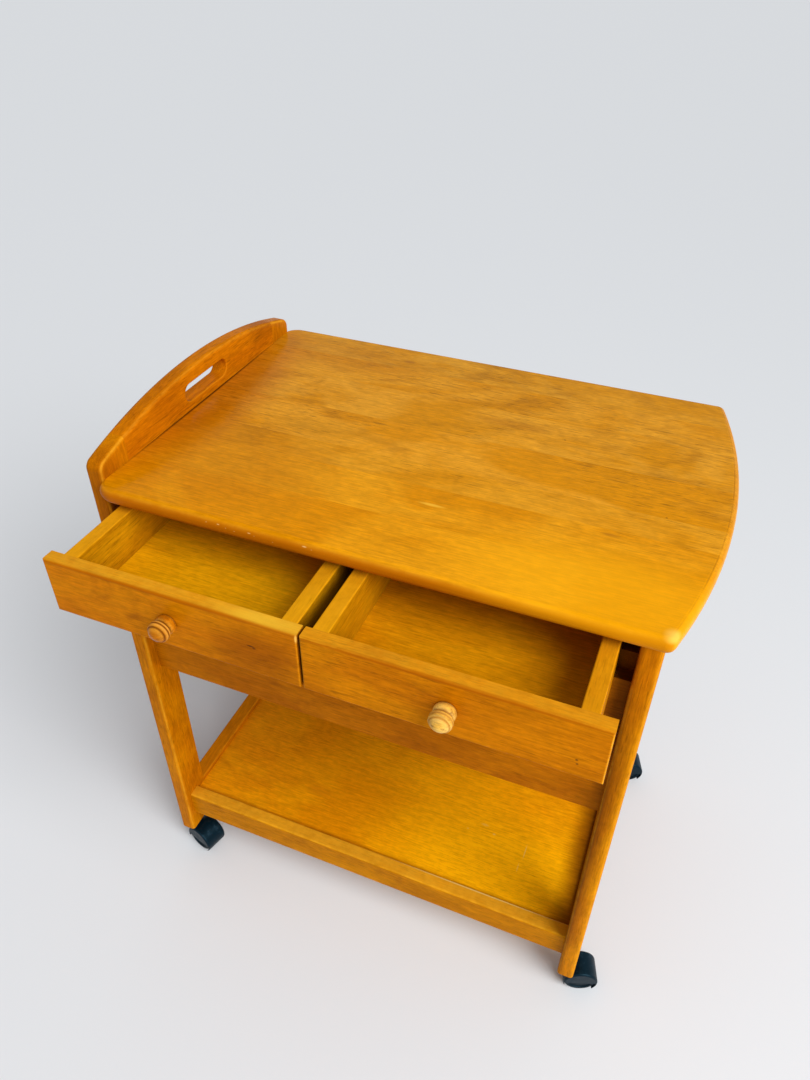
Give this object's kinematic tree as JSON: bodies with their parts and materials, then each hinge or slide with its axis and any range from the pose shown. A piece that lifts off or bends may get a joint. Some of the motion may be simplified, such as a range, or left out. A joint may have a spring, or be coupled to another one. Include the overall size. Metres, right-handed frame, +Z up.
{
  "type": "tea trolley",
  "caption": "Wooden tea trolley on casters with an arched slotted handle end, a bowed end, open drawers, a low railed shelf and a hinged leaf hanging at the back.",
  "frame": {"origin": "on the floor, under the middle of the bounding box with the drawers out and the leaf down", "axes": "+X along the top from the handle to the bowed end, -Y to the front where the drawers open, +Z up"},
  "size_m": [0.6619, 0.5886, 0.759],
  "materials": {
    "top_wood": "semi-gloss honey varnish",
    "frame_wood": "semi-gloss honey varnish",
    "front_wood": "semi-gloss honey varnish",
    "apron_wood": "semi-gloss honey varnish",
    "shelf_wood": "semi-gloss honey varnish",
    "box_wood": "clear lacquer",
    "knob_wood": "semi-gloss varnish",
    "hinge_brass": "plated",
    "steel": "zinc plated",
    "hood_plastic": "satin",
    "wheel_plastic": "matte"
  },
  "bodies": {
    "frame": {"frame_dowels": "box_wood", "caster_sockets": "hood_plastic", "left_front_leg": "frame_wood", "left_back_leg": "frame_wood", "handle_panel": "frame_wood", "right_front_leg": "frame_wood", "right_back_leg": "frame_wood", "right_end_panel": "frame_wood", "front_apron": "apron_wood", "left_top_batten": "box_wood", "right_top_batten": "box_wood", "batten_screws": "steel", "hinge_fixed_flaps": "hinge_brass", "hinge_pins": "hinge_brass", "hinge_fixed_screws": "hinge_brass", "table_top": "top_wood", "stay_brackets": "steel", "stay_pins": "steel", "bracket_screws": "steel", "back_apron": "apron_wood", "left_drawer_runner": "box_wood", "right_drawer_runner": "box_wood", "centre_drawer_runner": "box_wood", "shelf_front_rail": "frame_wood", "shelf_back_rail": "frame_wood", "shelf_left_rail": "frame_wood", "shelf_right_rail": "frame_wood", "shelf_panel": "shelf_wood"},
    "left_drawer": {"left_drawer_front": "front_wood", "left_drawer_left_side": "box_wood", "left_drawer_right_side": "box_wood", "left_drawer_back": "box_wood", "left_drawer_bottom": "box_wood", "left_drawer_knob": "knob_wood", "left_drawer_knob_screw": "steel"},
    "right_drawer": {"right_drawer_front": "front_wood", "right_drawer_left_side": "box_wood", "right_drawer_right_side": "box_wood", "right_drawer_back": "box_wood", "right_drawer_bottom": "box_wood", "right_drawer_knob": "knob_wood", "right_drawer_knob_screw": "steel"},
    "leaf": {"drop_leaf": "top_wood", "hinge_leaf_flaps": "hinge_brass", "hinge_leaf_screws": "hinge_brass"},
    "left_stay": {"left_stay_arm": "frame_wood"},
    "right_stay": {"right_stay_arm": "frame_wood"},
    "left_front_swivel": {"left_front_caster_hood": "hood_plastic", "left_front_caster_stem": "steel"},
    "left_front_wheels": {"left_front_caster_wheels": "wheel_plastic"},
    "right_front_swivel": {"right_front_caster_hood": "hood_plastic", "right_front_caster_stem": "steel"},
    "right_front_wheels": {"right_front_caster_wheels": "wheel_plastic"},
    "left_back_swivel": {"left_back_caster_hood": "hood_plastic", "left_back_caster_stem": "steel"},
    "left_back_wheels": {"left_back_caster_wheels": "wheel_plastic"},
    "right_back_swivel": {"right_back_caster_hood": "hood_plastic", "right_back_caster_stem": "steel"},
    "right_back_wheels": {"right_back_caster_wheels": "wheel_plastic"}
  },
  "joints": [
    {"name": "left_drawer_slide", "type": "slide", "parent": "frame", "child": "left_drawer", "axis": [0, -1, 0], "range_m": [-0.108, 0.132]},
    {"name": "right_drawer_slide", "type": "slide", "parent": "frame", "child": "right_drawer", "axis": [0, -1, 0], "range_m": [-0.108, 0.132]},
    {"name": "leaf_hinge", "type": "hinge", "parent": "frame", "child": "leaf", "pos_m": [0, 0.27275, 0.6865], "axis": [1, 0, 0], "range_deg": [0, 90]},
    {"name": "left_stay_swing", "type": "hinge", "parent": "frame", "child": "left_stay", "pos_m": [-0.1248, 0.25475, 0.5715], "axis": [1, 0, 0], "range_deg": [0, 135]},
    {"name": "right_stay_swing", "type": "hinge", "parent": "frame", "child": "right_stay", "pos_m": [0.1128, 0.25475, 0.5715], "axis": [1, 0, 0], "range_deg": [0, 135]},
    {"name": "left_front_caster_swivel", "type": "hinge", "parent": "frame", "child": "left_front_swivel", "pos_m": [-0.32, -0.13975, 0.05], "axis": [0, 0, 1], "continuous": true},
    {"name": "left_front_wheel_roll", "type": "hinge", "parent": "left_front_swivel", "child": "left_front_wheels", "pos_m": [-0.30213, -0.14454, 0.0215], "axis": [0.2588, 0.9659, 0], "continuous": true},
    {"name": "right_front_caster_swivel", "type": "hinge", "parent": "frame", "child": "right_front_swivel", "pos_m": [0.281, -0.13975, 0.05], "axis": [0, 0, 1], "continuous": true},
    {"name": "right_front_wheel_roll", "type": "hinge", "parent": "right_front_swivel", "child": "right_front_wheels", "pos_m": [0.29844, -0.13357, 0.0215], "axis": [-0.3338, 0.9426, 0], "continuous": true},
    {"name": "left_back_caster_swivel", "type": "hinge", "parent": "frame", "child": "left_back_swivel", "pos_m": [-0.32, 0.23425, 0.05], "axis": [0, 0, 1], "continuous": true},
    {"name": "left_back_wheel_roll", "type": "hinge", "parent": "left_back_swivel", "child": "left_back_wheels", "pos_m": [-0.30168, 0.23683, 0.0215], "axis": [-0.1392, 0.9903, 0], "continuous": true},
    {"name": "right_back_caster_swivel", "type": "hinge", "parent": "frame", "child": "right_back_swivel", "pos_m": [0.281, 0.23425, 0.05], "axis": [0, 0, 1], "continuous": true},
    {"name": "right_back_wheel_roll", "type": "hinge", "parent": "right_back_swivel", "child": "right_back_wheels", "pos_m": [0.29838, 0.24058, 0.0215], "axis": [-0.342, 0.9397, 0], "continuous": true}
  ],
  "couplings": [
    {"joint": "left_stay_swing", "follows": "leaf_hinge", "ratio": 1.5},
    {"joint": "right_stay_swing", "follows": "leaf_hinge", "ratio": 1.5}
  ]
}
